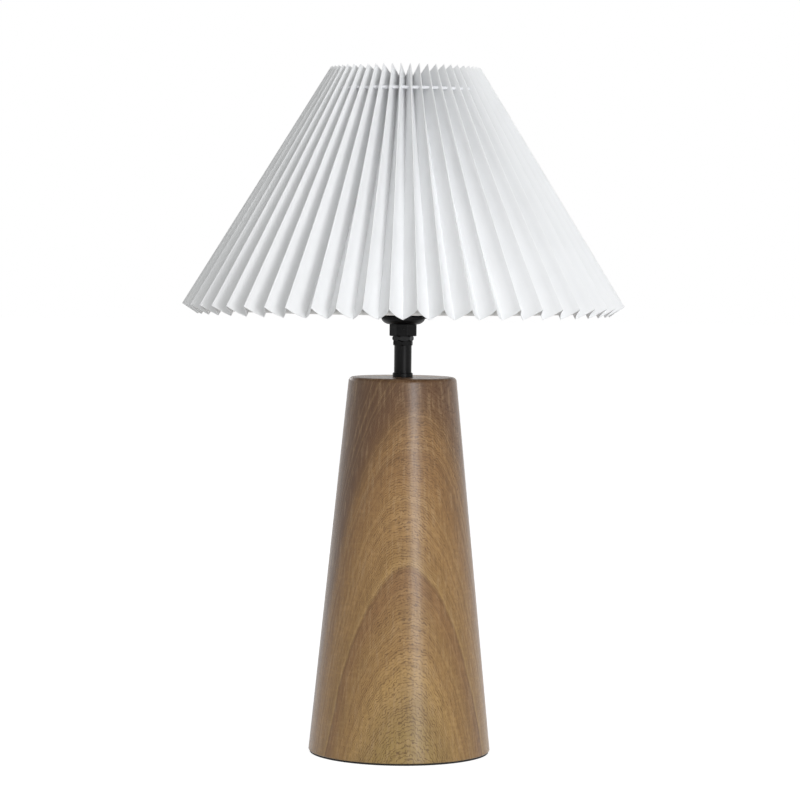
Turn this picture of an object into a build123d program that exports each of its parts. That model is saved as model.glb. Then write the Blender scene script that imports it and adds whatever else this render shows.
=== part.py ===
from build123d import *

import os
from math import atan2, cos, degrees, hypot, pi, sin, sqrt, tan

# A pleated paper table lamp: a turned wooden cone on a thin pad, a short black stem on a hollow M10 rod,
# an E14 lampholder with a small globe bulb, and a pleated shade over a lined wire frame.
# Millimetres, +Z up. The origin is on the table, on the lamp's axis. -Y is the front, +Y the back.

# ---- Driving sizes -------------------------------------------------------------------------------------

# Clearances
run_gap = 0.1            # between flat faces that turn on or lift off each other
slip_gap = 0.25          # radial, round parts that slide or turn in each other
fit_gap = 0.02           # radial, parts that are pressed or screwed together
rest_gap = 0.3           # between the paper, the liner and the wires that they rest on

# Base
pad_thickness = 1.4
pad_inset = 1.0
base_height = 279.6
base_bottom_radius = 68.0
base_top_radius = 40.1
base_top_round = 3.2
base_bottom_chamfer = 0.5
recess_radius = 24.0
recess_depth = 24.0

# Cord inlet at the back of the base
inlet_height = 13.0
inlet_radius = 3.4
bushing_wall = 1.3
bushing_length = 15.0
bushing_flange_radius = 7.0
bushing_flange_thickness = 1.8
bushing_lip_round = 0.5
spotface_margin = 0.5
spotface_depth = 2.8

# Hollow threaded rod and what it clamps
rod_radius = 5.0
rod_bore_radius = 4.0
rod_tail = 3.0
rod_end_in_cap = 7.5
washer_radius = 18.0
washer_thickness = 1.6
spring_washer_radius = 8.6
spring_washer_thickness = 1.8
spring_washer_slit = 1.2
spring_washer_slit_turn = 20.0
nut_across_flats = 14.0
nut_thickness = 3.5
nut_chamfer = 0.9

# Stem
collar_radius = 7.5
collar_height = 3.2
collar_floor = 1.3
collar_round = 0.7
tube_radius = 6.5
tube_length = 22.2
tube_wall = 1.1
stem_nut_turn = 25.0
lock_nut_turn = 8.0

# Lampholder cap: a faceted neck under a dished flange
neck_across_flats = 20.0
neck_facets = 8
neck_facet_round = 1.2
neck_height = 8.7
neck_foot_chamfer = 0.9
neck_turn = 20.0
flange_radius = 16.1
flange_height = 4.5
flange_rim = 1.0
flange_bulge = 1.0
cap_socket_depth = 2.2
set_screw_radius = 1.5
set_screw_height = 6.2
set_screw_stand = 0.3
set_screw_slot_width = 0.5
set_screw_slot_depth = 0.8

# Lampholder shell
shell_radius = 14.0
shell_wall = 1.5
shell_height = 40.5
shell_thread_height = 22.0
shell_top_step = 1.4
shell_web = 2.0
shell_top_round = 0.8
shell_rib_count = 16
shell_rib_stand = 0.7
shell_rib_width = 1.6
spigot_step = 1.4
lamp_bore_radius = 7.6
lamp_bore_wall = 1.4
lamp_bore_rise = 1.2

# Contact carrier and contacts
carrier_height = 18.0
wire_pocket_radius = 4.6
wire_pocket_depth = 9.0
terminal_offset = 7.8
terminal_head_radius = 2.0
terminal_head_height = 1.6
terminal_shank_radius = 1.25
terminal_pocket_depth = 5.0
terminal_slot_width = 0.5
terminal_slot_depth = 0.7
contact_thickness = 0.4
contact_end_margin = 2.1
tongue_width = 4.0
tongue_bend_start = 4.6
tongue_bend_end = 2.8
tongue_tip = 2.4
tongue_rise = 1.1
side_contact_width = 3.0
side_contact_height = 9.0
side_contact_gap = 0.15

# Shade ring
ring_radius = 16.6
ring_height = 7.0
ring_grip_count = 24
ring_grip_radius = 0.8
ring_round = 0.6

# Bulb
tip_radius = 2.4
tip_height = 1.5
insulator_top_radius = 6.0
insulator_bottom_radius = 2.9
insulator_height = 2.2
screw_cap_radius = 6.85
screw_cap_height = 18.0
screw_cap_wall = 0.5
housing_neck_radius = 7.1
housing_neck_height = 3.3
housing_height = 17.0
housing_top_radius = 17.6
housing_wall = 1.6
housing_rim_height = 2.0
globe_radius = 22.5
globe_wall = 1.0

# Pleated paper
pleat_count = 54
paper_thickness = 0.3
panel_width = 16.2
hem_radius = 164.9
hem_height = 334.7
crown_radius = 55.7
crown_height = 511.0

# Cord that gathers the pleats, in holes punched through every panel
gather_drop = 17.6
gather_depth = 5.0
gather_cord_radius = 0.75
gather_hole_radius = 1.3
gather_knot_radius = 1.8

# Liner and wire frame of the shade
liner_thickness = 0.4
liner_bottom_trim = 5.6
liner_top_trim = 13.0
liner_bottom_curl = 125.0
liner_top_curl = 200.0
frame_wire_radius = 1.5
spoke_count = 3
spoke_first_angle = 90.0
spoke_wire_radius = 1.3
spoke_seat = 3.0
spoke_bend_radius = 8.0
spoke_rise_start = 27.0
spoke_rise_end = 37.0
fitter_bore_radius = 14.8
fitter_radius = 21.0
fitter_thickness = 1.2

# ---- Heights that follow -------------------------------------------------------------------------------

wood_bottom = pad_thickness
wood_top = wood_bottom + base_height
recess_roof = wood_bottom + recess_depth
washer_bottom = recess_roof - washer_thickness
spring_washer_bottom = washer_bottom - spring_washer_thickness
rod_nut_bottom = spring_washer_bottom - nut_thickness
rod_bottom = rod_nut_bottom - rod_tail
collar_top = wood_top + collar_height
tube_bottom = wood_top + collar_floor
stem_nut_bottom = tube_bottom + tube_length
lock_nut_bottom = stem_nut_bottom + nut_thickness
neck_bottom = lock_nut_bottom + nut_thickness
neck_top = neck_bottom + neck_height
rod_top = neck_bottom + rod_end_in_cap
flange_top = neck_top + flange_height
cap_floor = flange_top - cap_socket_depth
carrier_top = cap_floor + carrier_height
thread_top = flange_top + shell_thread_height
shell_top = flange_top + shell_height
fitter_bottom = flange_top + run_gap
fitter_top = fitter_bottom + fitter_thickness
ring_bottom = fitter_top + run_gap
tip_bottom = carrier_top + contact_thickness + tongue_rise + run_gap
insulator_bottom = tip_bottom + tip_height
screw_cap_bottom = insulator_bottom + insulator_height
housing_bottom = screw_cap_bottom + screw_cap_height
housing_flare_bottom = housing_bottom + housing_neck_height
globe_bottom = housing_flare_bottom + housing_height

# ---- Pleat geometry ------------------------------------------------------------------------------------
# Each pleat is a V of two equal panels. Its outer fold lies in the XZ plane, and its inner folds lie in the
# planes half a pleat to each side. The ends of the paper are cut square to the outer fold.

half_pleat = pi / pleat_count
fold_lean = atan2(hem_radius - crown_radius, crown_height - hem_height)


def v_faces(fold_radius):
    """The V at one end: for its outer and inner faces, the depth of the middle, and the fold's x and depth."""
    rise = tan(half_pleat)
    lean = cos(fold_lean)
    a = 1 + (rise * lean) ** 2
    b = -2 * rise**2 * fold_radius * lean
    c = (rise * fold_radius) ** 2 - panel_width**2
    panel_depth = (-b + sqrt(b * b - 4 * a * c)) / (2 * a)
    half_angle = atan2(rise * (fold_radius - panel_depth * lean), panel_depth)
    faces = []
    for middle in (0, paper_thickness / sin(half_angle)):
        depth = (rise * fold_radius + middle * tan(half_angle)) / (tan(half_angle) + rise * lean)
        faces.append((middle, (depth - middle) * tan(half_angle), depth))
    return faces


def inner_fold_point(fold_radius, fold_height):
    """Radius and height of the inner fold's innermost point at one end of the paper."""
    _, (_, across, depth) = v_faces(fold_radius)
    return hypot(fold_radius - depth * cos(fold_lean), across), fold_height - depth * sin(fold_lean)


def end_plane(fold_radius, fold_height):
    """The plane that cuts the paper: x across the pleat, y inwards, z up along the outer fold."""
    up = (-sin(fold_lean), 0, cos(fold_lean))
    return Plane(origin=(fold_radius, 0, fold_height), x_dir=(0, 1, 0), z_dir=up)


gather_radius = crown_radius + gather_drop * sin(fold_lean) - gather_depth * cos(fold_lean)
gather_height = crown_height - gather_drop * cos(fold_lean) - gather_depth * sin(fold_lean)

# ---- Liner geometry ------------------------------------------------------------------------------------
# The liner is parallel to the inner folds and just inside them. Its edges curl round the two frame wires.

hem_fold = inner_fold_point(hem_radius, hem_height)
crown_fold = inner_fold_point(crown_radius, crown_height)
liner_lean = atan2(hem_fold[0] - crown_fold[0], crown_fold[1] - hem_fold[1])
inner_fold_length = hypot(hem_fold[0] - crown_fold[0], crown_fold[1] - hem_fold[1])
curl_inner = frame_wire_radius + rest_gap
curl_outer = curl_inner + liner_thickness


def wire_centre(along):
    """Radius and height of a frame wire's centre, that far up the inner fold from the hem."""
    inset = rest_gap + curl_outer
    return (
        hem_fold[0] - along * sin(liner_lean) - inset * cos(liner_lean),
        hem_fold[1] + along * cos(liner_lean) - inset * sin(liner_lean),
    )


bottom_wire = wire_centre(liner_bottom_trim + curl_outer)
top_wire = wire_centre(inner_fold_length - liner_top_trim - curl_outer)

os.makedirs("parts", exist_ok=True)


def write(builder, name):
    """Names a finished sub-part and writes its STEP file."""
    builder.part.label = name
    export_step(builder.part, f"parts/{name}.step")


def section(inner, outer, bottom, top, mode=Mode.ADD):
    """A rectangle of the XZ plane, to revolve: from radius inner to outer and height bottom to top."""
    with Locations(((inner + outer) / 2, (bottom + top) / 2)):
        Rectangle(outer - inner, top - bottom, mode=mode)


# ---- Base ----------------------------------------------------------------------------------------------

with BuildPart() as base_pad:
    with BuildSketch():
        Circle(base_bottom_radius - pad_inset)
    extrude(amount=pad_thickness)

bushing_radius = inlet_radius + bushing_wall
spotface_y = base_bottom_radius - spotface_depth
bushing_mouth = spotface_y + bushing_flange_thickness

with BuildPart() as base_body:
    with BuildSketch(Plane.XZ) as base_section:
        with BuildLine():
            Polyline(
                (0, wood_bottom),
                (base_bottom_radius, wood_bottom),
                (base_top_radius, wood_top),
                (0, wood_top),
                close=True,
            )
        make_face()
        fillet(base_section.vertices().sort_by(Axis.X)[-2], base_top_round)
        chamfer(base_section.vertices().sort_by(Axis.X)[-1], base_bottom_chamfer)
    revolve(axis=Axis.Z)
    with BuildSketch(Plane.XY.offset(wood_bottom)):
        Circle(recess_radius)
    extrude(amount=recess_depth, mode=Mode.SUBTRACT)
    with BuildSketch(Plane.XY.offset(wood_bottom)):
        Circle(rod_radius + slip_gap)
    extrude(amount=base_height, mode=Mode.SUBTRACT)
    with BuildSketch(Plane.XZ.offset(-spotface_y)):
        with Locations((0, inlet_height)):
            Circle(bushing_flange_radius + spotface_margin)
    extrude(amount=-2 * spotface_depth, mode=Mode.SUBTRACT)
    with BuildSketch(Plane.XZ):
        with Locations((0, inlet_height)):
            Circle(bushing_radius + fit_gap)
    extrude(amount=-base_bottom_radius, mode=Mode.SUBTRACT)

with BuildPart() as cord_bushing:
    with BuildSketch(Plane.XZ.offset(-spotface_y)):
        with Locations((0, inlet_height)):
            Circle(bushing_flange_radius)
    extrude(amount=-bushing_flange_thickness)
    fillet(cord_bushing.edges().group_by(Axis.Y)[-1], bushing_lip_round)
    with BuildSketch(Plane.XZ.offset(-spotface_y)):
        with Locations((0, inlet_height)):
            Circle(bushing_radius)
    extrude(amount=bushing_length - bushing_flange_thickness)
    with BuildSketch(Plane.XZ.offset(-bushing_mouth)):
        with Locations((0, inlet_height)):
            Circle(inlet_radius)
    extrude(amount=bushing_length, mode=Mode.SUBTRACT)

# ---- Rod, washers and nuts -----------------------------------------------------------------------------

with BuildPart() as threaded_rod:
    with BuildSketch(Plane.XY.offset(rod_bottom)):
        Circle(rod_radius)
        Circle(rod_bore_radius, mode=Mode.SUBTRACT)
    extrude(amount=rod_top - rod_bottom)

with BuildPart() as rod_washer:
    with BuildSketch(Plane.XY.offset(washer_bottom)):
        Circle(washer_radius)
        Circle(rod_radius + slip_gap, mode=Mode.SUBTRACT)
    extrude(amount=washer_thickness)

with BuildPart() as rod_spring_washer:
    with BuildSketch(Plane.XY.offset(spring_washer_bottom)):
        Circle(spring_washer_radius)
        Circle(rod_radius + slip_gap, mode=Mode.SUBTRACT)
        with Locations((0, -(rod_radius + spring_washer_radius) / 2)):
            Rectangle(
                spring_washer_slit,
                spring_washer_radius,
                rotation=-spring_washer_slit_turn,
                mode=Mode.SUBTRACT,
            )
    extrude(amount=spring_washer_thickness)


def hex_nut(bottom, turn):
    """A thin M10 nut, chamfered on both faces, its lower face at that height."""
    corner = nut_across_flats / 2 / cos(pi / 6)
    with BuildPart() as nut:
        with BuildSketch(Plane.XY.offset(bottom)):
            RegularPolygon(nut_across_flats / 2, 6, major_radius=False, rotation=turn)
            Circle(rod_radius + fit_gap, mode=Mode.SUBTRACT)
        extrude(amount=nut_thickness)
        with BuildSketch(Plane.XZ) as turned:
            section(0, corner, bottom, bottom + nut_thickness)
            chamfer(turned.vertices().group_by(Axis.X)[-1], nut_chamfer)
        revolve(axis=Axis.Z, mode=Mode.INTERSECT)
    return nut


rod_nut = hex_nut(rod_nut_bottom, 0)
stem_nut = hex_nut(stem_nut_bottom, stem_nut_turn)
lock_nut = hex_nut(lock_nut_bottom, lock_nut_turn)

# ---- Stem ----------------------------------------------------------------------------------------------

with BuildPart() as stem_collar:
    with BuildSketch(Plane.XZ) as collar_section:
        section(rod_radius + slip_gap, collar_radius, wood_top, collar_top)
        fillet(collar_section.vertices().group_by(Axis.X)[-1].sort_by(Axis.Y)[-1], collar_round)
        section(0, tube_radius + fit_gap, tube_bottom, collar_top, mode=Mode.SUBTRACT)
    revolve(axis=Axis.Z)

with BuildPart() as stem_tube:
    with BuildSketch(Plane.XY.offset(tube_bottom)):
        Circle(tube_radius)
        Circle(tube_radius - tube_wall, mode=Mode.SUBTRACT)
    extrude(amount=tube_length)

# ---- Lampholder ----------------------------------------------------------------------------------------

spigot_radius = shell_radius - spigot_step
cavity_radius = spigot_radius - shell_wall
carrier_radius = cavity_radius - fit_gap
set_screw_centre = neck_bottom + set_screw_height
neck_corner = neck_across_flats / 2 / cos(pi / neck_facets)

with BuildPart() as holder_cap:
    with BuildSketch(Plane.XY.offset(neck_bottom)) as neck_outline:
        RegularPolygon(neck_across_flats / 2, neck_facets, major_radius=False, rotation=neck_turn)
        fillet(neck_outline.vertices(), neck_facet_round)
    extrude(amount=neck_height)
    with BuildSketch(Plane.XZ) as neck_turned:
        section(0, neck_corner, neck_bottom, neck_top)
        foot_corner = neck_turned.vertices().group_by(Axis.X)[-1].sort_by(Axis.Y)[0]
        chamfer(foot_corner, neck_foot_chamfer)
    revolve(axis=Axis.Z, mode=Mode.INTERSECT)
    with BuildSketch(Plane.XZ):
        with BuildLine():
            rim_foot = (flange_radius, flange_top - flange_rim)
            dish_foot = (neck_across_flats / 2, neck_top)
            SagittaArc(dish_foot, rim_foot, -flange_bulge)
            Polyline(rim_foot, (flange_radius, flange_top), (0, flange_top), (0, neck_top), dish_foot)
        make_face()
    revolve(axis=Axis.Z)
    with BuildSketch(Plane.XY.offset(cap_floor)):
        Circle(spigot_radius + fit_gap)
    extrude(amount=cap_socket_depth, mode=Mode.SUBTRACT)
    with BuildSketch(Plane.XY.offset(neck_bottom)):
        Circle(rod_radius + fit_gap)
    extrude(amount=cap_floor - neck_bottom, mode=Mode.SUBTRACT)
    with BuildSketch(Plane.XZ):
        with Locations((0, set_screw_centre)):
            Circle(set_screw_radius + fit_gap)
    extrude(amount=neck_corner, mode=Mode.SUBTRACT)

with BuildPart() as cap_set_screw:
    set_screw_tip = rod_radius + fit_gap
    set_screw_end = neck_across_flats / 2 - set_screw_stand
    with BuildSketch(Plane.XZ.offset(set_screw_tip)):
        with Locations((0, set_screw_centre)):
            Circle(set_screw_radius)
    extrude(amount=set_screw_end - set_screw_tip)
    with BuildSketch(Plane.XZ.offset(set_screw_end)):
        with Locations((0, set_screw_centre)):
            Rectangle(2 * set_screw_radius, set_screw_slot_width)
    extrude(amount=-set_screw_slot_depth, mode=Mode.SUBTRACT)

with BuildPart() as holder_shell:
    with BuildSketch(Plane.XZ) as shell_section:
        groove_inner = lamp_bore_radius + lamp_bore_wall
        section(0, shell_radius - shell_top_step, thread_top, shell_top)
        fillet(shell_section.vertices().group_by(Axis.Y)[-1].sort_by(Axis.X)[-1], shell_top_round)
        section(0, spigot_radius, cap_floor + run_gap, thread_top)
        section(0, shell_radius, flange_top, thread_top)
        section(0, cavity_radius, cap_floor, carrier_top, mode=Mode.SUBTRACT)
        section(0, groove_inner, carrier_top, carrier_top + lamp_bore_rise, mode=Mode.SUBTRACT)
        section(groove_inner, cavity_radius, carrier_top, shell_top - shell_web, mode=Mode.SUBTRACT)
        section(0, lamp_bore_radius, carrier_top, shell_top, mode=Mode.SUBTRACT)
    revolve(axis=Axis.Z)
    with BuildSketch(Plane.XY.offset(thread_top)):
        with PolarLocations(shell_radius - shell_top_step, shell_rib_count):
            Rectangle(2 * shell_rib_stand, shell_rib_width)
        Circle(cavity_radius + shell_wall / 2, mode=Mode.SUBTRACT)
    extrude(amount=shell_height - shell_thread_height - shell_web)

with BuildPart() as contact_carrier:
    with BuildSketch(Plane.XY.offset(cap_floor)):
        Circle(carrier_radius)
    extrude(amount=carrier_height)
    with BuildSketch(Plane.XY.offset(cap_floor)):
        Circle(wire_pocket_radius)
    extrude(amount=wire_pocket_depth, mode=Mode.SUBTRACT)
    with BuildSketch(Plane.XY.offset(cap_floor)):
        with PolarLocations(terminal_offset, 2):
            Circle(terminal_head_radius + slip_gap)
    extrude(amount=terminal_pocket_depth, mode=Mode.SUBTRACT)
    with BuildSketch(Plane.XY.offset(cap_floor)):
        with PolarLocations(terminal_offset, 2):
            Circle(terminal_shank_radius + fit_gap)
    extrude(amount=carrier_height, mode=Mode.SUBTRACT)

with BuildPart() as terminal_screws:
    terminal_seat = cap_floor + terminal_pocket_depth
    with BuildSketch(Plane.XY.offset(terminal_seat)):
        with PolarLocations(terminal_offset, 2):
            Circle(terminal_head_radius)
    extrude(amount=-terminal_head_height)
    with BuildSketch(Plane.XY.offset(terminal_seat)):
        with PolarLocations(terminal_offset, 2):
            Circle(terminal_shank_radius)
    extrude(amount=carrier_top - terminal_seat)
    with BuildSketch(Plane.XY.offset(terminal_seat - terminal_head_height)):
        with PolarLocations(terminal_offset, 2):
            Rectangle(terminal_slot_width, 2 * terminal_head_radius)
    extrude(amount=terminal_slot_depth, mode=Mode.SUBTRACT)

contact_end = terminal_offset + contact_end_margin

with BuildPart() as centre_contact:
    with BuildSketch(Plane.XZ):
        with BuildLine():
            tongue_top = carrier_top + tongue_rise
            Polyline(
                (-contact_end, carrier_top),
                (-tongue_bend_start, carrier_top),
                (-tongue_bend_end, tongue_top),
                (tongue_tip, tongue_top),
                (tongue_tip, tongue_top + contact_thickness),
                (-tongue_bend_end, tongue_top + contact_thickness),
                (-tongue_bend_start, carrier_top + contact_thickness),
                (-contact_end, carrier_top + contact_thickness),
                close=True,
            )
        make_face()
    extrude(amount=tongue_width / 2, both=True)

with BuildPart() as side_contact:
    with BuildSketch(Plane.XZ):
        with BuildLine():
            blade_face = screw_cap_radius + side_contact_gap
            blade_back = blade_face + contact_thickness
            Polyline(
                (blade_face, carrier_top),
                (contact_end, carrier_top),
                (contact_end, carrier_top + contact_thickness),
                (blade_back, carrier_top + contact_thickness),
                (blade_back, carrier_top + side_contact_height),
                (blade_face, carrier_top + side_contact_height),
                close=True,
            )
        make_face()
    extrude(amount=side_contact_width / 2, both=True)

with BuildPart() as shade_ring:
    with BuildSketch(Plane.XZ) as ring_section:
        section(shell_radius + slip_gap, ring_radius, ring_bottom, ring_bottom + ring_height)
        fillet(ring_section.vertices().group_by(Axis.X)[-1], ring_round)
    revolve(axis=Axis.Z)
    with BuildSketch(Plane.XY.offset(ring_bottom)):
        with PolarLocations(ring_radius + ring_grip_radius / 3, ring_grip_count):
            Circle(ring_grip_radius)
    extrude(amount=ring_height, mode=Mode.SUBTRACT)

# ---- Bulb ----------------------------------------------------------------------------------------------

with BuildPart() as bulb_centre_contact:
    with BuildSketch(Plane.XZ):
        with BuildLine():
            tip_edge = (tip_radius, insulator_bottom)
            TangentArc((0, tip_bottom), tip_edge, tangent=(1, 0))
            Polyline(tip_edge, (0, insulator_bottom), (0, tip_bottom))
        make_face()
    revolve(axis=Axis.Z)

with BuildPart() as bulb_insulator:
    with BuildSketch(Plane.XZ):
        with BuildLine():
            Polyline(
                (0, insulator_bottom),
                (insulator_bottom_radius, insulator_bottom),
                (insulator_top_radius, screw_cap_bottom),
                (0, screw_cap_bottom),
                close=True,
            )
        make_face()
    revolve(axis=Axis.Z)

with BuildPart() as bulb_screw_cap:
    with BuildSketch(Plane.XZ) as screw_cap_section:
        section(0, screw_cap_radius, screw_cap_bottom, housing_bottom)
        cap_corner = screw_cap_section.vertices().group_by(Axis.Y)[0].sort_by(Axis.X)[-1]
        fillet(cap_corner, screw_cap_radius - insulator_top_radius)
        cap_inside = screw_cap_radius - screw_cap_wall
        section(0, cap_inside, screw_cap_bottom + screw_cap_wall, housing_bottom, mode=Mode.SUBTRACT)
    revolve(axis=Axis.Z)

with BuildPart() as bulb_housing:
    with BuildSketch(Plane.XZ):
        with BuildLine():
            neck_edge = (housing_neck_radius, housing_flare_bottom)
            rim_edge = (housing_top_radius, globe_bottom - housing_rim_height)
            TangentArc(neck_edge, rim_edge, tangent=(0, 1))
            Polyline(
                rim_edge,
                (housing_top_radius, globe_bottom),
                (0, globe_bottom),
                (0, housing_bottom),
                (housing_neck_radius, housing_bottom),
                neck_edge,
            )
        make_face()
    revolve(axis=Axis.Z)

with BuildPart() as bulb_globe:
    globe_seat = housing_top_radius - housing_wall
    globe_centre = globe_bottom + sqrt(globe_radius**2 - globe_seat**2)
    with BuildSketch(Plane.XZ):
        with Locations((0, globe_centre)):
            Circle(globe_radius)
            Circle(globe_radius - globe_wall, mode=Mode.SUBTRACT)
        section(0, globe_radius, globe_bottom, globe_centre + globe_radius, mode=Mode.INTERSECT)
    revolve(axis=Axis.Z)

# ---- Shade frame and liner -----------------------------------------------------------------------------


def wire_ring(centre):
    """A frame wire bent into a level ring, its centre line at that radius and height."""
    with BuildPart() as ring:
        with BuildSketch(Plane.XZ):
            with Locations(centre):
                Circle(frame_wire_radius)
        revolve(axis=Axis.Z)
    return ring


top_ring = wire_ring(top_wire)
bottom_ring = wire_ring(bottom_wire)

with BuildPart() as fitter_ring:
    with BuildSketch(Plane.XY.offset(fitter_bottom)):
        Circle(fitter_radius)
        Circle(fitter_bore_radius, mode=Mode.SUBTRACT)
    extrude(amount=fitter_thickness)

with BuildPart() as one_spoke:
    spoke_start = fitter_radius - spoke_seat
    spoke_seat_height = fitter_top + spoke_wire_radius
    with BuildLine() as spoke_path:
        FilletPolyline(
            (spoke_start, 0, spoke_seat_height),
            (spoke_rise_start, 0, spoke_seat_height),
            (spoke_rise_end, 0, bottom_wire[1]),
            (bottom_wire[0], 0, bottom_wire[1]),
            radius=spoke_bend_radius,
        )
    with BuildSketch(Plane.YZ.offset(spoke_start)):
        with Locations((0, spoke_seat_height)):
            Circle(spoke_wire_radius)
    sweep(path=spoke_path.wires()[0])
    add(bottom_ring.part, mode=Mode.SUBTRACT)

with BuildPart() as spokes:
    with PolarLocations(0, spoke_count, start_angle=spoke_first_angle):
        add(one_spoke.part)

with BuildPart() as shade_liner:
    with BuildSketch(Plane.XZ):
        with BuildLine():
            wall_angle = degrees(liner_lean)
            top_outside = CenterArc(top_wire, curl_outer, wall_angle, liner_top_curl)
            top_inside = CenterArc(top_wire, curl_inner, wall_angle, liner_top_curl)
            bottom_outside = CenterArc(bottom_wire, curl_outer, wall_angle, -liner_bottom_curl)
            bottom_inside = CenterArc(bottom_wire, curl_inner, wall_angle, -liner_bottom_curl)
            Line(top_outside @ 0, bottom_outside @ 0)
            Line(top_inside @ 0, bottom_inside @ 0)
            Line(top_outside @ 1, top_inside @ 1)
            Line(bottom_outside @ 1, bottom_inside @ 1)
        make_face()
    revolve(axis=Axis.Z)

# ---- Pleated paper and its gathering cord --------------------------------------------------------------

with BuildPart() as one_pleat:
    for fold_radius, fold_height in ((hem_radius, hem_height), (crown_radius, crown_height)):
        with BuildSketch(end_plane(fold_radius, fold_height)):
            outer_face, inner_face = v_faces(fold_radius)
            with BuildLine():
                Polyline(
                    (0, outer_face[0]),
                    (outer_face[1], outer_face[2]),
                    (inner_face[1], inner_face[2]),
                    (0, inner_face[0]),
                    (-inner_face[1], inner_face[2]),
                    (-outer_face[1], outer_face[2]),
                    close=True,
                )
            make_face()
    loft(ruled=True)
    with BuildSketch(Plane.XZ):
        with Locations((gather_radius, gather_height)):
            Circle(gather_hole_radius)
    extrude(amount=panel_width, both=True, mode=Mode.SUBTRACT)

with BuildPart() as shade_pleats:
    with PolarLocations(0, pleat_count):
        add(one_pleat.part)

with BuildPart() as gathering_cord:
    with BuildSketch(Plane.XZ):
        with Locations((gather_radius, gather_height)):
            Circle(gather_cord_radius)
    revolve(axis=Axis.Z)
    with Locations((0, gather_radius, gather_height)):
        Sphere(gather_knot_radius, rotation=(0, 90, 0))

# ---- Sub-parts -----------------------------------------------------------------------------------------

for name, builder in {
    "base_pad": base_pad,
    "base_body": base_body,
    "cord_bushing": cord_bushing,
    "threaded_rod": threaded_rod,
    "rod_washer": rod_washer,
    "rod_spring_washer": rod_spring_washer,
    "rod_nut": rod_nut,
    "stem_collar": stem_collar,
    "stem_tube": stem_tube,
    "stem_nut": stem_nut,
    "lock_nut": lock_nut,
    "holder_cap": holder_cap,
    "cap_set_screw": cap_set_screw,
    "holder_shell": holder_shell,
    "contact_carrier": contact_carrier,
    "terminal_screws": terminal_screws,
    "centre_contact": centre_contact,
    "side_contact": side_contact,
    "shade_ring": shade_ring,
    "bulb_centre_contact": bulb_centre_contact,
    "bulb_insulator": bulb_insulator,
    "bulb_screw_cap": bulb_screw_cap,
    "bulb_housing": bulb_housing,
    "bulb_globe": bulb_globe,
    "fitter_ring": fitter_ring,
    "spokes": spokes,
    "bottom_ring": bottom_ring,
    "top_ring": top_ring,
    "shade_liner": shade_liner,
    "shade_pleats": shade_pleats,
    "gathering_cord": gathering_cord,
}.items():
    write(builder, name)
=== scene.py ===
from math import asin, atan2, cos, hypot, pi, radians, sin, sqrt, tan
from random import Random

import bmesh
import bpy
from mathutils import Matrix, Vector


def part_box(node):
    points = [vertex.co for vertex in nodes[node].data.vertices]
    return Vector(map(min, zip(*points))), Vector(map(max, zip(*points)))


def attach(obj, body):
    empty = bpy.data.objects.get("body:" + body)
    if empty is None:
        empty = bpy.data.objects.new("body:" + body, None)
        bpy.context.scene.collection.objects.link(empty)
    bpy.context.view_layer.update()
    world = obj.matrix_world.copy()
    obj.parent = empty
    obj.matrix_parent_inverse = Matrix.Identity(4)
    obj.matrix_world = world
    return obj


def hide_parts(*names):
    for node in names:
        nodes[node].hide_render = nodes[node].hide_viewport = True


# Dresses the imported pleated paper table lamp: the folded paper, the turned parts' threads, the cord that
# gathers the pleats, and a procedural material on every piece. Metres, +Z up, -Y is the front.

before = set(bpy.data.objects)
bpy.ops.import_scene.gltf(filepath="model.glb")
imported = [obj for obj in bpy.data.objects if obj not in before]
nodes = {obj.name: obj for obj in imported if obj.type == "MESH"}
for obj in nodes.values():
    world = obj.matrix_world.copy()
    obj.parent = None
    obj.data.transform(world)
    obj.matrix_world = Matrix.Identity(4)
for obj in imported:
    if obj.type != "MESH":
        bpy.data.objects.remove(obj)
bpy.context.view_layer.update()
mm = 0.001

# ---- Mesh helpers --------------------------------------------------------------------------------------

weld_reach = 1e-7               # points nearer than this become one


def make_piece(name, points, faces, body, material, sharp=35):
    """A new mesh piece that rides on a body. Edges that turn by more than sharp degrees stay crisp."""
    mesh = bpy.data.meshes.new(name)
    mesh.from_pydata([tuple(p) for p in points], [], faces)
    work = bmesh.new()
    work.from_mesh(mesh)
    bmesh.ops.remove_doubles(work, verts=work.verts, dist=weld_reach)
    bmesh.ops.recalc_face_normals(work, faces=work.faces)
    work.to_mesh(mesh)
    work.free()
    mesh.polygons.foreach_set("use_smooth", [True] * len(mesh.polygons))
    mesh.set_sharp_from_angle(angle=radians(sharp))
    mesh.materials.append(material)
    piece = bpy.data.objects.new(name, mesh)
    bpy.context.scene.collection.objects.link(piece)
    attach(piece, body)
    return piece


def turned(outline, segments, relief):
    """Points and faces of a closed (radius, height) outline turned about the axis. relief(angle, radius,
    height) is added to the radius."""
    points, faces = [], []
    count = len(outline)
    for k in range(segments):
        angle = 2 * pi * k / segments
        for radius, height in outline:
            reach = radius + relief(angle, radius, height)
            points.append((reach * cos(angle), reach * sin(angle), height))
    for k in range(segments):
        here = k * count
        after = (k + 1) % segments * count
        for i in range(count):
            j = (i + 1) % count
            faces.append((here + i, after + i, after + j, here + j))
    return points, faces


def arc(centre, radius, start, end, steps):
    """(radius, height) points of an arc in the XZ plane, angles in degrees."""
    turns = [radians(start + (end - start) * i / steps) for i in range(steps + 1)]
    return [(centre[0] + radius * cos(t), centre[1] + radius * sin(t)) for t in turns]


def rise(radius, bottom, top, step):
    """Points up a straight wall, no further apart than step, for a thread or ribs."""
    steps = max(1, round(abs(top - bottom) / step))
    return [(radius, bottom + (top - bottom) * i / steps) for i in range(steps + 1)]


def smooth(value):
    """0 below 0, 1 above 1, and an even curve between."""
    value = min(1.0, max(0.0, value))
    return value * value * (3 - 2 * value)


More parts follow.
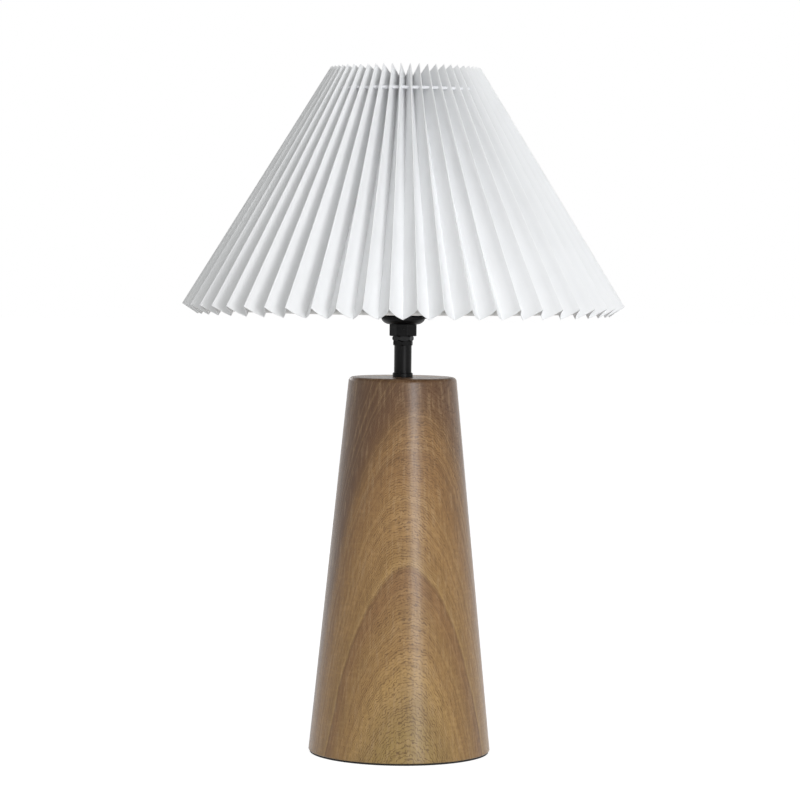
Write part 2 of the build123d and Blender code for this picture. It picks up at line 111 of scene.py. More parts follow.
def thread_relief(bottom, top, pitch, depth, run_out):
    """How far a rounded thread's surface lies below its crests, as a relief for turned()."""

    def relief(angle, radius, height):
        if not bottom < height < top:
            return 0.0
        phase = (height / pitch - angle / (2 * pi)) % 1.0
        groove = 0.5 - 0.5 * cos(2 * pi * phase)
        fade = smooth((height - bottom) / run_out) * smooth((top - height) / run_out)
        return -depth * groove * fade

    return relief


def tube(path, radius, sides):
    """Points and faces of a round tube along a closed list of points, without twist between them."""
    points, faces = [], []
    count = len(path)
    ahead = (path[1] - path[0]).normalized()
    side = ahead.orthogonal().normalized()
    for i, here in enumerate(path):
        way = path[(i + 1) % count] - path[i - 1]
        way.normalize()
        side = (side - way * side.dot(way)).normalized()
        other = way.cross(side)
        for k in range(sides):
            turn = 2 * pi * k / sides
            points.append(here + radius * (cos(turn) * side + sin(turn) * other))
    for i in range(count):
        j = (i + 1) % count
        for k in range(sides):
            m = (k + 1) % sides
            faces.append((i * sides + k, i * sides + m, j * sides + m, j * sides + k))
    return points, faces


def joined(*parts):
    """One list of points and one of faces from several (points, faces) pairs."""
    points, faces = [], []
    for some_points, some_faces in parts:
        start = len(points)
        points += some_points
        faces += [tuple(start + i for i in face) for face in some_faces]
    return points, faces


# ---- Material helpers ----------------------------------------------------------------------------------


def tone(red, green, blue):
    """The linear colour of a display colour given in steps of 0 to 255."""
    parts = []
    for step in (red, green, blue):
        share = step / 255
        parts.append(share / 12.92 if share <= 0.04045 else ((share + 0.055) / 1.055) ** 2.4)
    return (*parts, 1.0)


class Graph:
    """The node tree of one new material, with short calls for what the materials below repeat."""

    def __init__(self, name):
        self.material = bpy.data.materials.new(name)
        self.material.use_nodes = True
        self.tree = self.material.node_tree
        self.surface = self.tree.nodes["Principled BSDF"]
        self.place = self.add("ShaderNodeTexCoord").outputs["Object"]

    def add(self, kind, **settings):
        node = self.tree.nodes.new(kind)
        for key, value in settings.items():
            setattr(node, key, value)
        return node

    def feed(self, socket, value):
        """Links a socket to another node's output, or sets it to a plain value."""
        if isinstance(value, bpy.types.NodeSocket):
            self.tree.links.new(value, socket)
        else:
            socket.default_value = value

    def finish(self, **inputs):
        """Sets or links the shader's own sockets, named with _ for a space, and gives the material."""
        for key, value in inputs.items():
            self.feed(self.surface.inputs[key.replace("_", " ")], value)
        return self.material

    def math(self, operation, *values):
        node = self.add("ShaderNodeMath", operation=operation)
        for socket, value in zip(node.inputs, values):
            self.feed(socket, value)
        return node.outputs[0]

    def vector(self, operation, *values, output=0):
        node = self.add("ShaderNodeVectorMath", operation=operation)
        for socket, value in zip(node.inputs, values):
            self.feed(socket, value)
        return node.outputs[output]

    def split(self, vector):
        node = self.add("ShaderNodeSeparateXYZ")
        self.feed(node.inputs[0], vector)
        return node.outputs

    def combine(self, *values):
        node = self.add("ShaderNodeCombineXYZ")
        for socket, value in zip(node.inputs, values):
            self.feed(socket, value)
        return node.outputs[0]

    def noise(self, place, size, detail=2.0, roughness=0.5, along=False):
        """Smooth noise around 0.5, with blobs about size metres across. With along, place is one number and
        the noise varies along one direction only."""
        node = self.add("ShaderNodeTexNoise", noise_dimensions="1D" if along else "3D")
        self.feed(node.inputs["W" if along else "Vector"], place)
        node.inputs["Scale"].default_value = 1 / size
        node.inputs["Detail"].default_value = detail
        node.inputs["Roughness"].default_value = roughness
        return node.outputs[0]

    def span(self, value, low, high, to_low=0.0, to_high=1.0):
        """Takes low..high smoothly to to_low..to_high, and stays within them."""
        node = self.add("ShaderNodeMapRange", interpolation_type="SMOOTHSTEP")
        for socket, part in zip(node.inputs, (value, low, high, to_low, to_high)):
            self.feed(socket, part)
        return node.outputs[0]

    def mix(self, factor, first, second):
        node = self.add("ShaderNodeMix", data_type="RGBA")
        self.feed(node.inputs[0], factor)
        self.feed(node.inputs[6], first)
        self.feed(node.inputs[7], second)
        return node.outputs[2]

    def bump(self, height, distance, strength):
        node = self.add("ShaderNodeBump")
        self.feed(node.inputs["Height"], height)
        node.inputs["Distance"].default_value = distance
        node.inputs["Strength"].default_value = strength
        return node.outputs["Normal"]


# ---- Materials -----------------------------------------------------------------------------------------


def wood_material():
    """Lacquered hardwood. The rings are flattened tubes round a pith that bends as it rises. So they show
    as nested arches on the front and as upright streaks at the sides, full of fine wavy lines."""
    g = Graph("wood")
    x, y, z = g.split(g.place)
    pith_x = -81 * mm
    pith_foot = 23.5 * mm           # the pith's place from front to back, at the height of the table
    pith_lean = -0.080
    pith_curve = -0.30
    flatness = 0.252                # how much less a ring grows with a step sideways than with one inwards
    year_gap = 1.5 * mm
    streak_width = 1.9 * mm
    line_gap = 0.56 * mm
    pore_width = 0.55 * mm
    bend = g.math("MULTIPLY_ADD", z, pith_curve, pith_lean)
    pith_y = g.math("MULTIPLY_ADD", z, bend, pith_foot)
    sideways = g.math("MULTIPLY", g.math("SUBTRACT", x, pith_x), flatness)
    reach = g.vector("LENGTH", g.combine(sideways, g.math("SUBTRACT", pith_y, y), 0.0), output=1)

    def drift(size, stretch, amount):
        """Noise that moves the rings in and out by about amount, with blobs stretched upwards."""
        spot = g.vector("MULTIPLY", g.place, (1.0, 1.0, 1 / stretch))
        return g.math("MULTIPLY", g.math("SUBTRACT", g.noise(spot, size), 0.5), 2 * amount)

    swirl = drift(45 * mm, 2.0, 2.8 * mm)
    wave = drift(9 * mm, 1.3, 0.55 * mm)
    ripple = drift(3.0 * mm, 0.8, 0.62 * mm)
    ring = g.math("ADD", g.math("ADD", reach, swirl), wave)
    fine_ring = g.math("ADD", ring, ripple)

    # The wood's colour at each ring, in millimetres from the pith
    tones = (
        (26, (104, 76, 54)),
        (30, (109, 79, 55)),
        (34, (127, 95, 61)),
        (37.5, (152, 116, 73)),
        (40, (142, 107, 68)),
        (45, (153, 116, 73)),
        (50, (161, 124, 77)),
        (56, (167, 130, 82)),
        (61, (155, 120, 73)),
        (63, (174, 139, 88)),
        (64.2, (136, 100, 63)),
        (67, (151, 114, 73)),
        (72, (159, 124, 77)),
        (77, (165, 129, 80)),
        (81, (178, 143, 89)),
        (86, (161, 131, 82)),
        (90, (159, 132, 79)),
        (96, (165, 139, 86)),
    )
    first, last = tones[0][0], tones[-1][0]
    bands = g.add("ShaderNodeValToRGB")
    ramp = bands.color_ramp
    while len(ramp.elements) < len(tones):
        ramp.elements.new(1.0)
    for stop, (at, colour) in zip(ramp.elements, tones):
        stop.position = (at - first) / (last - first)
        stop.color = tone(*colour)
    share = g.add("ShaderNodeMapRange")
    for socket, part in zip(share.inputs, (ring, first * mm, last * mm)):
        g.feed(socket, part)
    g.feed(bands.inputs[0], share.outputs[0])
    colour = bands.outputs[0]

    year = g.noise(ring, year_gap, detail=4, roughness=0.6, along=True)
    colour = g.mix(g.span(year, 0.46, 0.72, 0.0, 0.30), colour, tone(104, 74, 48))
    colour = g.mix(g.span(year, 0.52, 0.26, 0.0, 0.26), colour, tone(184, 150, 104))
    streaks = g.vector("MULTIPLY", g.place, (1.0, 1.0, 0.025))
    upright = g.noise(streaks, streak_width, detail=4, roughness=0.6)
    colour = g.mix(g.span(upright, 0.48, 0.70, 0.0, 0.26), colour, tone(100, 78, 58))
    colour = g.mix(g.span(upright, 0.52, 0.30, 0.0, 0.30), colour, tone(182, 154, 118))

    swing = g.math("SINE", g.math("MULTIPLY", fine_ring, 2 * pi / line_gap))
    broken = g.noise(g.vector("MULTIPLY", g.place, (0.5, 0.5, 1.3)), 3.0 * mm, detail=3)
    lines = g.math("MULTIPLY", g.span(swing, 0.2, 0.95), g.span(broken, 0.30, 0.55))
    colour = g.mix(g.math("MULTIPLY", lines, 0.62), colour, tone(84, 56, 32))
    pores = g.noise(g.vector("MULTIPLY", g.place, (1.0, 1.0, 0.10)), pore_width, detail=2)
    pore = g.span(pores, 0.58, 0.70)
    colour = g.mix(g.math("MULTIPLY", pore, 0.22), colour, tone(84, 60, 38))

    roughness = g.span(year, 0.3, 0.7, 0.34, 0.42)
    relief = g.math("ADD", g.math("MULTIPLY", lines, -0.6), g.math("MULTIPLY", pore, -0.4))
    return g.finish(
        Base_Color=colour,
        Roughness=roughness,
        Normal=g.bump(relief, 0.08 * mm, 0.8),
        Specular_IOR_Level=0.1,
        Coat_Weight=0.44,
        Coat_Roughness=0.25,
    )


def paper_material():
    """Matt white paper with a faint laid grain."""
    g = Graph("pleated_paper")
    fibres = g.noise(g.vector("MULTIPLY", g.place, (1.0, 1.0, 0.4)), 0.5 * mm, detail=3)
    clouds = g.noise(g.place, 30 * mm, detail=2)
    colour = g.mix(g.span(clouds, 0.3, 0.7), tone(241, 242, 243), tone(243, 244, 245))
    roughness = g.span(fibres, 0.3, 0.7, 0.78, 0.9)
    return g.finish(
        Base_Color=colour,
        Roughness=roughness,
        Normal=g.bump(fibres, 0.02 * mm, 0.2),
        Specular_IOR_Level=0.25,
    )


def plain_material(name, light, dark, rough, grain, depth, **inputs):
    """A moulded, coated or drawn finish: two near tones in soft clouds, and a fine grain. rough is the pair
    of the lowest and the highest roughness."""
    g = Graph(name)
    fine = g.noise(g.place, grain, detail=3)
    clouds = g.noise(g.place, 14 * mm, detail=2)
    colour = g.mix(g.span(clouds, 0.3, 0.7), dark, light)
    roughness = g.span(fine, 0.3, 0.7, rough[0], rough[1])
    return g.finish(Base_Color=colour, Roughness=roughness, Normal=g.bump(fine, depth, 0.6), **inputs)


def brushed_material(name, light, dark, rough):
    """Turned metal, with fine lines round the axis. rough is a pair, as above."""
    g = Graph(name)
    x, y, z = g.split(g.place)
    radius = g.vector("LENGTH", g.combine(x, y, 0.0), output=1)
    lines = g.noise(g.combine(radius, z, 0.0), 0.08 * mm, detail=2)
    clouds = g.noise(g.place, 5 * mm)
    colour = g.mix(g.span(clouds, 0.3, 0.7), dark, light)
    roughness = g.span(lines, 0.3, 0.7, rough[0], rough[1])
    return g.finish(
        Base_Color=colour, Roughness=roughness, Metallic=1.0, Normal=g.bump(lines, 0.01 * mm, 0.5)
    )


def pad_material():
    """Black foam sheet: a dense field of tiny closed cells."""
    g = Graph("pad_foam")
    cell_width = 0.5 * mm
    cells = g.add("ShaderNodeTexVoronoi", feature="F1")
    g.feed(cells.inputs["Vector"], g.place)
    cells.inputs["Scale"].default_value = 1 / cell_width
    reach = cells.outputs["Distance"]
    colour = g.mix(g.span(reach, 0.1, 0.6), tone(34, 33, 32), tone(20, 20, 20))
    roughness = g.span(reach, 0.1, 0.6, 0.8, 0.95)
    return g.finish(Base_Color=colour, Roughness=roughness, Normal=g.bump(reach, 0.08 * mm, 0.5))


def cotton_material():
    """White twisted cotton."""
    g = Graph("gather_cotton")
    fluff = g.noise(g.place, 0.3 * mm, detail=3)
    colour = g.mix(g.span(fluff, 0.3, 0.7), tone(228, 229, 232), tone(244, 245, 248))
    roughness = g.span(fluff, 0.3, 0.7, 0.85, 0.95)
    return g.finish(Base_Color=colour, Roughness=roughness, Normal=g.bump(fluff, 0.06 * mm, 0.6))


wood = wood_material()
paper = paper_material()
black_metal = plain_material(
    "black_metal",
    tone(12, 12, 13),
    tone(8, 8, 9),
    (0.34, 0.44),
    0.35 * mm,
    0.015 * mm,
    Specular_IOR_Level=0.16,
)
black_plastic = plain_material(
    "black_plastic",
    tone(16, 16, 17),
    tone(11, 11, 12),
    (0.4, 0.55),
    0.25 * mm,
    0.02 * mm,
    Specular_IOR_Level=0.2,
)
nylon = plain_material(
    "bushing_nylon", tone(24, 24, 25), tone(17, 17, 18), (0.42, 0.56), 0.3 * mm, 0.02 * mm
)
wire_white = plain_material(
    "white_wire", tone(236, 236, 234), tone(228, 228, 226), (0.32, 0.44), 0.5 * mm, 0.03 * mm
)
styrene = plain_material(
    "liner_styrene", tone(240, 240, 238), tone(234, 234, 232), (0.5, 0.62), 0.3 * mm, 0.015 * mm
)
ceramic = plain_material(
    "ceramic", tone(232, 226, 214), tone(222, 215, 202), (0.5, 0.7), 0.3 * mm, 0.03 * mm
)
bulb_white = plain_material(
    "bulb_housing_white", tone(238, 238, 236), tone(232, 232, 230), (0.34, 0.44), 0.3 * mm, 0.01 * mm
)
opal = plain_material(
    "opal_globe", tone(244, 244, 240), tone(238, 238, 234), (0.12, 0.2), 0.4 * mm, 0.006 * mm
)
black_glass = plain_material(
    "insulator_glass", tone(18, 18, 20), tone(10, 10, 12), (0.08, 0.16), 0.4 * mm, 0.01 * mm
)
solder = plain_material(
    "solder_tip", tone(176, 174, 168), tone(140, 138, 132), (0.3, 0.5), 0.5 * mm, 0.06 * mm, Metallic=1.0
)
zinc = brushed_material("zinc_steel", tone(178, 180, 182), tone(150, 152, 154), (0.3, 0.42))
nickel = brushed_material("nickel_cap", tone(200, 198, 190), tone(182, 180, 172), (0.18, 0.28))
brass = brushed_material("brass", tone(196, 160, 92), tone(170, 134, 70), (0.28, 0.4))
foam = pad_material()
cotton = cotton_material()

# ---- CAD nodes that keep their shape -------------------------------------------------------------------

finishes = {
    "base_pad": foam,
    "base_body": wood,
    "cord_bushing": nylon,
    "rod_washer": zinc,
    "rod_spring_washer": zinc,
    "rod_nut": zinc,
    "stem_collar": black_metal,
    "stem_tube": black_metal,
    "stem_nut": black_metal,
    "lock_nut": black_metal,
    "holder_cap": black_metal,
    "cap_set_screw": black_metal,
    "contact_carrier": ceramic,
    "terminal_screws": brass,
    "centre_contact": brass,
    "side_contact": brass,
    "fitter_ring": black_metal,
    "spokes": wire_white,
    "bottom_ring": wire_white,
    "top_ring": wire_white,
    "shade_liner": styrene,
    "shade_ring": black_plastic,
    "bulb_centre_contact": solder,
    "bulb_insulator": black_glass,
    "bulb_housing": bulb_white,
    "bulb_globe": opal,
}
for node_name, finish in finishes.items():
    node = nodes[node_name]
    for material_slot in node.material_slots:
        material_slot.material = finish

# ---- Pleated paper -------------------------------------------------------------------------------------
# One strip of paper, folded outwards and inwards by turns. Every fold is a straight line from the hem up to
# the crown. A row of the mesh is a zigzag with rounded folds, square to the outer folds.

pleat_count = 54
half_pleat = pi / pleat_count
paper_thickness = 0.3 * mm
panel_width = 16.2 * mm
_, shade_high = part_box("shade_pleats")
hem_radius = shade_high.x
hem_height = 334.7 * mm
crown_radius = 55.7 * mm
crown_height = shade_high.z
fold_lean = atan2(hem_radius - crown_radius, crown_height - hem_height)
fold_length = hypot(hem_radius - crown_radius, crown_height - hem_height)
fold_round = 0.155 * mm         # radius of the middle of the paper in a fold
fold_steps = 4                  # faces round a fold
row_count = 34                  # rows below the cord's holes
crown_row_count = 4             # rows above them
gather_drop = 17.6 * mm
gather_depth = 5.0 * mm
gather_hole_radius = 1.3 * mm

# What the folder's hands and the paper's spring leave uneven, at most
hem_turn_error = radians(0.22)
crown_turn_error = radians(0.35)
hem_fold_error = 0.5 * mm
crown_fold_error = 0.4 * mm
inner_fold_error = 0.3 * mm
belly_error = 0.30 * mm         # across the middle of a panel
lift_error = 0.35 * mm          # at the hem
panel_sag = 1.0 * mm            # how far every panel hollows inwards between its two folds
crown_margin = 0.3 * mm         # the outer folds end this far below the solid's top
chance = Random(54)


def panel_depth(fold_radius):
    """How deep the V is at a row's end, square to the outer fold."""
    slope = tan(half_pleat)
    lean = cos(fold_lean)
    a = 1 + (slope * lean) ** 2
    b = -2 * slope**2 * fold_radius * lean
    c = (slope * fold_radius) ** 2 - panel_width**2
    return (-b + sqrt(b * b - 4 * a * c)) / (2 * a)


hem_depth = panel_depth(hem_radius)
crown_depth = panel_depth(crown_radius)


def uneven(amount):
    """A small seeded error of folding by hand, at most that amount either way."""
    return chance.uniform(-amount, amount)


def fold_end(angle, radius, height):
    return Vector((radius * cos(angle), radius * sin(angle), height))


def fold_ends():
    """For each fold in turn, its lower and upper end. Even ones are outer folds, odd ones inner."""
    ends = []
    paper_bend = fold_round + paper_thickness / 2
    for k in range(2 * pleat_count):
        angle = k * half_pleat
        lower_angle = angle + uneven(hem_turn_error)
        upper_angle = angle + uneven(crown_turn_error)
        if k % 2 == 0:
            lower_radius = hem_radius - paper_bend - abs(uneven(hem_fold_error))
            upper_radius = crown_radius - paper_bend - abs(uneven(crown_fold_error))
            lower = fold_end(lower_angle, lower_radius, hem_height)
            upper = fold_end(upper_angle, upper_radius, crown_height - crown_margin)
        else:
            deep = []
            for radius, height, depth in (
                (hem_radius, hem_height, hem_depth),
                (crown_radius, crown_height, crown_depth),
            ):
                inner_x = radius - depth * cos(fold_lean)
                inner_y = inner_x * tan(half_pleat)
                deep.append((hypot(inner_x, inner_y) + paper_bend, height - depth * sin(fold_lean)))
            lower = fold_end(lower_angle, deep[0][0] + uneven(inner_fold_error), deep[0][1])
            upper = fold_end(upper_angle, deep[1][0] + uneven(inner_fold_error), deep[1][1])
        ends.append((lower, upper))
    return ends


ends = fold_ends()

# Rows are shares of the way from the hem to the crown, and shares are parts of the way across a panel, from
# its outer to its inner fold. Both have three close together where the cord's hole is.
hole_row = 1 - gather_drop / fold_length
hole_row_step = gather_hole_radius / fold_length
hole_share = gather_depth / (hem_depth + (crown_depth - hem_depth) * hole_row)
hole_share_step = gather_hole_radius / panel_width
hole_top = hole_row + hole_row_step
crown_step = (1 - hole_top) / crown_row_count
rows = [hole_row * i / row_count for i in range(row_count)]
rows = [r for r in rows if r < hole_row - 1.6 * hole_row_step]
rows += [hole_row - hole_row_step, hole_row, hole_top]
rows += [hole_top + crown_step * i for i in range(1, crown_row_count + 1)]
hole_row_index = rows.index(hole_row)
shares = [hole_share - hole_share_step, hole_share, hole_share + hole_share_step]
hole_column = shares.index(hole_share)
shares += [0.5, 0.62, 0.74, 0.87]

# Per panel, how far it bellies out of flat and how far it lifts near the hem
bellies = [(uneven(belly_error), uneven(lift_error)) for _ in range(2 * pleat_count)]


def zigzag(row):
    """Middle points of the paper and their outward normals, round one row."""
    at = [lower.lerp(upper, row) for lower, upper in ends]
    along = [(upper - lower).normalized() for lower, upper in ends]
    count = len(at)
    normals = []
    for k in range(count):
        after = (k + 1) % count
        across = at[after] - at[k]
        width = across.length
        across.normalize()
        lengthways = (along[k] + along[after]).normalized()
        square = lengthways.cross(across).normalized()
        middle = (at[k] + at[after]) / 2
        if square.dot(Vector((middle.x, middle.y, 0))) < 0:
            square.negate()
        lean = asin(min(0.9, 2 * fold_round / width))
        way = 1 if k % 2 == 0 else -1
        normals.append((square * cos(lean) + across * way * sin(lean)).normalized())
    points = []
    for k in range(count):
        before = normals[k - 1]
        after = normals[k]
        way = 1 if k % 2 == 0 else -1
        for i in range(fold_steps + 1):
            normal = before.slerp(after, i / fold_steps)
            points.append((at[k] + way * fold_round * normal, normal))
        start = at[k] + way * fold_round * after
        end = at[(k + 1) % count] - way * fold_round * after
        stops = shares if k % 2 == 0 else [1 - s for s in reversed(shares)]
        belly, lift = bellies[k]
        for share in stops:
            push = sin(pi * share) * (belly * sin(pi * row) + lift * (1 - row) ** 3)
            push -= panel_sag * (1 - row**3) * sin(pi * share)
            points.append((start.lerp(end, share) + push * after, after))
    return points


def pleated_sheet():
    """Points and faces of the paper: an outer and an inner skin, joined at both edges and at the holes."""
    grid = [zigzag(row) for row in rows]
    columns = len(grid[0])
    per_fold = fold_steps + 1 + len(shares)
    hole_columns = []
    for k in range(2 * pleat_count):
        offset = hole_column if k % 2 == 0 else len(shares) - 1 - hole_column
        hole_columns.append(k * per_fold + fold_steps + 1 + offset)

    # The hole's four corners move in, so that it is round.
    corner = 1 / sqrt(2)
    for column in hole_columns:
        centre = grid[hole_row_index][column][0]
        for i in (-1, 1):
            for j in (-1, 1):
                point, normal = grid[hole_row_index + i][column + j]
                rounded = centre.lerp(point, corner)
                grid[hole_row_index + i][column + j] = (rounded, normal)
    points = []
    for side in (0.5, -0.5):
        for row in grid:
            points += [point + side * paper_thickness * normal for point, normal in row]
    skin = len(rows) * columns
    holes = set()
    for column in hole_columns:
        for i in (-1, 0):
            for j in (-1, 0):
                holes.add((hole_row_index + i, column + j))

    def index(row, column, side=0):
        return side * skin + row * columns + column % columns

    faces = []
    for r in range(len(rows) - 1):
        for c in range(columns):
            if (r, c) in holes:
                continue
            outer = (index(r, c), index(r, c + 1), index(r + 1, c + 1), index(r + 1, c))
            faces.append(outer)
            faces.append(tuple(skin + i for i in reversed(outer)))
    for c in range(columns):
        for r in (0, len(rows) - 1):
            faces.append((index(r, c), index(r, c + 1), index(r, c + 1, 1), index(r, c, 1)))
    rim = [(-1, -1), (-1, 0), (-1, 1), (0, 1), (1, 1), (1, 0), (1, -1), (0, -1)]
    for column in hole_columns:
        for here, there in zip(rim, rim[1:] + rim[:1]):
            a = (hole_row_index + here[0], column + here[1])
            b = (hole_row_index + there[0], column + there[1])
            faces.append((index(*a), index(*b), index(*b, 1), index(*a, 1)))
    used = sorted({i for face in faces for i in face})
    new_index = {old: new for new, old in enumerate(used)}
    return [points[i] for i in used], [tuple(new_index[i] for i in face) for face in faces]


paper_points, paper_faces = pleated_sheet()
pleated_paper = make_piece("pleated_paper", paper_points, paper_faces, "shade", paper, sharp=50)
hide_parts("shade_pleats")

# ---- Cord that gathers the pleats ----------------------------------------------------------------------

gather_radius = crown_radius + gather_drop * sin(fold_lean) - gather_depth * cos(fold_lean)
gather_height = crown_height - gather_drop * cos(fold_lean) - gather_depth * sin(fold_lean)
strand_count = 3
strand_radius = 0.62 * mm
strand_offset = 0.62 * mm       # of a strand's middle from the cord's
strand_turns = 100
strand_steps = strand_turns * 10
strand_sides = 6
knot_steps = 60
knot_sides = 8
knot_radius = 0.5 * mm          # of the cord where it is pulled tight
knot_size = 0.42 * mm
knot_depth = 0.6 * mm


def strand(first_turn):
    """One strand of the cord, wound round the gathering circle."""
    path = []
    for i in range(strand_steps):
        share = i / strand_steps
        angle = 2 * pi * share
        turn = first_turn + 2 * pi * strand_turns * share
        reach = gather_radius + strand_offset * cos(turn)
        height = gather_height + strand_offset * sin(turn)
        path.append(Vector((reach * cos(angle), reach * sin(angle), height)))
    return tube(path, strand_radius, strand_sides)


def knot():
    """A small overhand knot at the back, pulled tight, round a three-lobed closed curve."""
    path = []
    for i in range(knot_steps):
        t = 2 * pi * i / knot_steps
        across = (sin(t) + 2 * sin(2 * t)) * knot_size
        up = (cos(t) - 2 * cos(2 * t)) * knot_size
        out = -sin(3 * t) * knot_depth
        path.append(Vector((across, gather_radius + out, gather_height + up)))
    return tube(path, knot_radius, knot_sides)


strands = [strand(2 * pi * k / strand_count) for k in range(strand_count)]
cord_points, cord_faces = joined(*strands, knot())
gather_thread = make_piece("gather_thread", cord_points, cord_faces, "shade", cotton)
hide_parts("gathering_cord")

# ---- Threaded parts ------------------------------------------------------------------------------------

rod_low, rod_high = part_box("threaded_rod")
rod_pitch = 1.0 * mm
rod_thread_depth = 0.55 * mm
rod_bore_radius = 4.0 * mm
rod_sides = 48
rod_thread = thread_relief(rod_low.z, rod_high.z, rod_pitch, rod_thread_depth, rod_pitch)
rod_outline = rise(rod_high.x, rod_low.z, rod_high.z, rod_pitch / 6)
rod_outline += [(rod_bore_radius, rod_high.z), (rod_bore_radius, rod_low.z)]
rod_points, rod_faces = turned(rod_outline, rod_sides, rod_thread)
rod = make_piece("rod_with_thread", rod_points, rod_faces, "base", zinc)
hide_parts("threaded_rod")

shell_low, shell_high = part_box("holder_shell")
_, cap_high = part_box("holder_cap")
shell_radius = shell_high.x
shell_wall = 1.5 * mm
shell_step = 1.4 * mm           # from the thread in to the spigot below it and to the plain part above
shell_web = 2.0 * mm
shell_top_round = 0.8 * mm
shell_sides = 192
spigot_radius = shell_radius - shell_step
cavity_radius = spigot_radius - shell_wall
shell_pitch = 2.5 * mm
shell_thread_depth = 1.1 * mm
shell_run_out = 1.2 * mm
thread_top = cap_high.z + 22.0 * mm
bore_radius = 7.6 * mm
bore_wall = 1.4 * mm
bore_outside = bore_radius + bore_wall
cap_socket_depth = 2.2 * mm
carrier_height = 18.0 * mm
bore_rise = 1.2 * mm            # of the bore's foot above the contact carrier
bore_bottom = cap_high.z - cap_socket_depth + carrier_height + bore_rise
rib_count = 16
rib_stand = 0.7 * mm
rib_width = 1.6 * mm
rib_edge = 0.5 * mm             # width of the slope at a rib's sides and end
hair = 0.01 * mm                # the least difference between two radii or heights
shell_thread = thread_relief(cap_high.z, thread_top, shell_pitch, shell_thread_depth, shell_run_out)
round_centre = (spigot_radius - shell_top_round, shell_high.z - shell_top_round)


def shell_relief(angle, radius, height):
    """The shade ring's thread below, upright ribs above."""
    if radius >= shell_radius - hair:
        return shell_thread(angle, radius, height)
    if radius >= spigot_radius - hair and height > thread_top:
        pitch_angle = 2 * pi / rib_count
        off = abs((angle + pitch_angle / 2) % pitch_angle - pitch_angle / 2) * radius
        edge = smooth((rib_width / 2 + rib_edge / 2 - off) / rib_edge)
        end = smooth((shell_high.z - shell_web - height) / rib_edge)
        return rib_stand * edge * end
    return 0.0


shell_outline = [
    (cavity_radius, shell_low.z),
    (spigot_radius, shell_low.z),
    (spigot_radius, cap_high.z),
    *rise(shell_radius, cap_high.z, thread_top, shell_pitch / 12),
    *rise(spigot_radius, thread_top + hair, shell_high.z - shell_top_round, 0.5 * mm),
    *arc(round_centre, shell_top_round, 0, 90, 5)[1:],
    (bore_radius, shell_high.z),
    (bore_radius, bore_bottom),
    (bore_outside, bore_bottom),
    (bore_outside, shell_high.z - shell_web),
    (cavity_radius, shell_high.z - shell_web),
]
shell_points, shell_faces = turned(shell_outline, shell_sides, shell_relief)
holder = make_piece("holder_with_thread", shell_points, shell_faces, "base", black_plastic)
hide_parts("holder_shell")

screw_low, screw_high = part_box("bulb_screw_cap")
screw_pitch = 2.822 * mm
screw_thread_depth = 0.6 * mm
screw_thread_foot = 1.0 * mm    # plain heights below and above the thread
screw_thread_head = 2.0 * mm
screw_run_out = 1.2 * mm
screw_wall = 0.3 * mm
screw_foot = 6.0 * mm           # radius of the cap's lower end
screw_foot_height = 0.85 * mm
screw_inside = screw_high.x - 2.4 * screw_wall
screw_sides = 96
screw_thread = thread_relief(
    screw_low.z + screw_thread_foot,
    screw_high.z - screw_thread_head,
    screw_pitch,
    screw_thread_depth,
    screw_run_out,
)


def screw_relief(angle, radius, height):
    """The bulb cap's rolled thread, on the outside alone."""
    if radius < screw_high.x - hair:
        return 0.0
    return screw_thread(angle, radius, height)


screw_outline = [
    (screw_foot - screw_wall, screw_low.z + screw_wall),
    (screw_foot, screw_low.z),
    *rise(screw_high.x, screw_low.z + screw_foot_height, screw_high.z, screw_pitch / 14),
    (screw_high.x - screw_wall, screw_high.z),
    (screw_inside, screw_high.z - 1.0 * mm),
    (screw_inside, screw_low.z + 1.2 * mm),
]
screw_points, screw_faces = turned(screw_outline, screw_sides, screw_relief)
screw_cap = make_piece("bulb_cap_with_thread", screw_points, screw_faces, "bulb", nickel)
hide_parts("bulb_screw_cap")

# ---- Floor and backdrop --------------------------------------------------------------------------------

floor_reach = 12.0
floor_glow = 0.86
floor_grey = 0.36
studio = bpy.data.meshes.new("studio_floor")
studio.from_pydata(
    [(x * floor_reach, y * floor_reach, 0) for x, y in ((-1, -1), (1, -1), (1, 1), (-1, 1))],
    [],
    [(0, 1, 2, 3)],
)
floor = bpy.data.objects.new("studio_floor", studio)
bpy.context.scene.collection.objects.link(floor)


def seen_by_eye(tree):
    """1 for the rays that show the surroundings, which are the camera's, reflected and refracted ones."""
    path = tree.nodes.new("ShaderNodeLightPath")
    total = path.outputs["Is Camera Ray"]
    for name in ("Is Glossy Ray", "Is Transmission Ray"):
        either = tree.nodes.new("ShaderNodeMath")
        either.operation = "MAXIMUM"
        tree.links.new(total, either.inputs[0])
        tree.links.new(path.outputs[name], either.inputs[1])
        total = either.outputs[0]
    return total


def floor_material():
    """White paper floor: its own glow for the eye keeps it white, and the shadow stays in its matt part."""
    g = Graph("studio_white")
    for_eye = g.add("ShaderNodeAddShader")
    glow = g.add("ShaderNodeEmission")
    glow.inputs["Color"].default_value = (1, 1, 1, 1)
    glow.inputs["Strength"].default_value = floor_glow
    pale = g.add("ShaderNodeBsdfDiffuse")
    pale.inputs["Color"].default_value = (floor_grey, floor_grey, floor_grey, 1)
    g.tree.links.new(glow.outputs[0], for_eye.inputs[0])
    g.tree.links.new(pale.outputs[0], for_eye.inputs[1])
    choose = g.add("ShaderNodeMixShader")
    g.tree.links.new(seen_by_eye(g.tree), choose.inputs[0])
    g.tree.links.new(g.surface.outputs[0], choose.inputs[1])
    g.tree.links.new(for_eye.outputs[0], choose.inputs[2])
    output = g.tree.nodes["Material Output"]
    g.tree.links.new(choose.outputs[0], output.inputs["Surface"])
    return g.finish(Base_Color=(0.8, 0.8, 0.8, 1), Roughness=0.9)


studio.materials.append(floor_material())

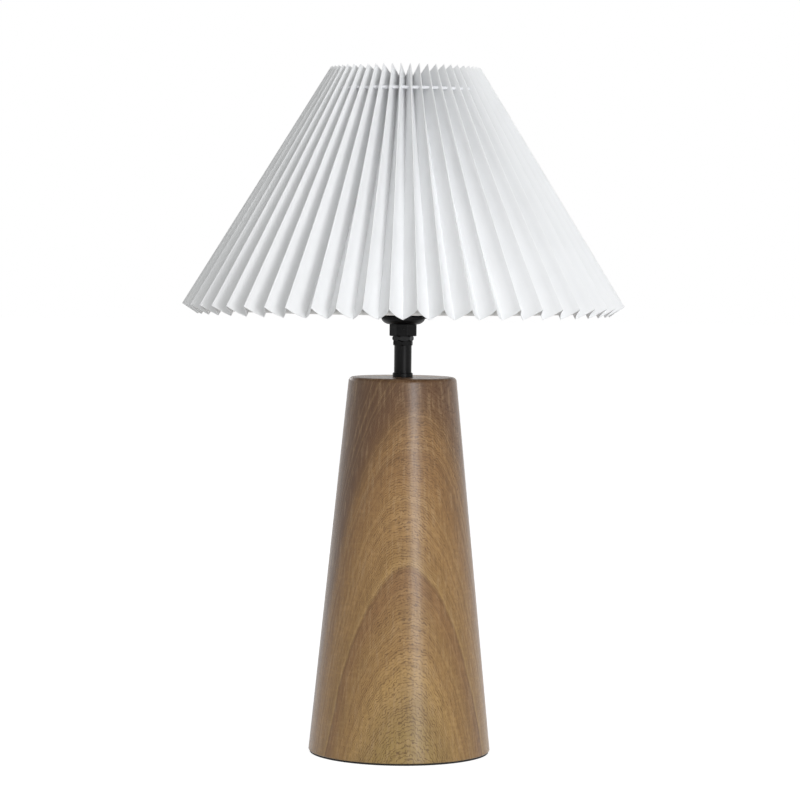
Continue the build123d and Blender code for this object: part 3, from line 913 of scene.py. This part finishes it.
# ---- World, lamps and camera ---------------------------------------------------------------------------

scene = bpy.context.scene
scene.view_settings.view_transform = "Standard"

world = bpy.data.worlds.new("studio")
scene.world = world
world.use_nodes = True
world_tree = world.node_tree
sky = world_tree.nodes["Background"]
sky.inputs["Color"].default_value = (1, 1, 0.985, 1)

# The sky is weaker on the right (+X), as in a room with its window on the left.
ray_parts = world_tree.nodes.new("ShaderNodeSeparateXYZ")
ray_way = world_tree.nodes.new("ShaderNodeTexCoord").outputs["Generated"]
world_tree.links.new(ray_way, ray_parts.inputs[0])
sky_strength = world_tree.nodes.new("ShaderNodeMapRange")
world_tree.links.new(ray_parts.outputs["X"], sky_strength.inputs["Value"])
sky_range = {"From Min": -0.2, "From Max": 1.0, "To Min": 0.54, "To Max": 0.24}
for socket_name, part in sky_range.items():
    sky_strength.inputs[socket_name].default_value = part
world_tree.links.new(sky_strength.outputs[0], sky.inputs["Strength"])

backdrop = world_tree.nodes.new("ShaderNodeBackground")
backdrop.inputs["Color"].default_value = (1, 1, 1, 1)
backdrop.inputs["Strength"].default_value = 1.0
choose_world = world_tree.nodes.new("ShaderNodeMixShader")
world_tree.links.new(seen_by_eye(world_tree), choose_world.inputs[0])
world_tree.links.new(sky.outputs[0], choose_world.inputs[1])
world_tree.links.new(backdrop.outputs[0], choose_world.inputs[2])
world_output = world_tree.nodes["World Output"]
world_tree.links.new(choose_world.outputs[0], world_output.inputs["Surface"])

lamp_target = Vector((0, 0, 0.33))
lamp_colour = (0.99, 0.995, 1.01)


def soft_lamp(name, place, width, height, power):
    """A soft box that faces the middle of the lamp, in metres and watts."""
    light = bpy.data.lights.new(name, "AREA")
    light.shape = "RECTANGLE"
    light.size = width
    light.size_y = height
    light.energy = power
    light.color = lamp_colour
    soft_box = bpy.data.objects.new(name, light)
    facing = (lamp_target - Vector(place)).to_track_quat("-Z", "Y")
    soft_box.matrix_world = Matrix.Translation(place) @ facing.to_matrix().to_4x4()
    scene.collection.objects.link(soft_box)


soft_lamp("key_lamp", (0.92, -1.81, 1.05), 1.0, 1.0, 12.0)
soft_lamp("strip_lamp", (0.8, -1.83, 0.42), 0.45, 0.7, 9.5)
soft_lamp("back_lamp", (-0.9, 1.9, 1.1), 1.2, 1.2, 8.0)

camera_place = (-0.0018, -2.3095, 0.3837)
camera_pitch = radians(2.975)
camera_roll = radians(0.567)
camera_data = bpy.data.cameras.new("camera")
camera_data.sensor_width = 36
camera_data.lens = 139.44
camera = bpy.data.objects.new("camera", camera_data)
level = Matrix.Rotation(pi / 2 - camera_pitch, 4, "X")
camera.matrix_world = Matrix.Translation(camera_place) @ level @ Matrix.Rotation(camera_roll, 4, "Z")
scene.collection.objects.link(camera)
scene.camera = camera
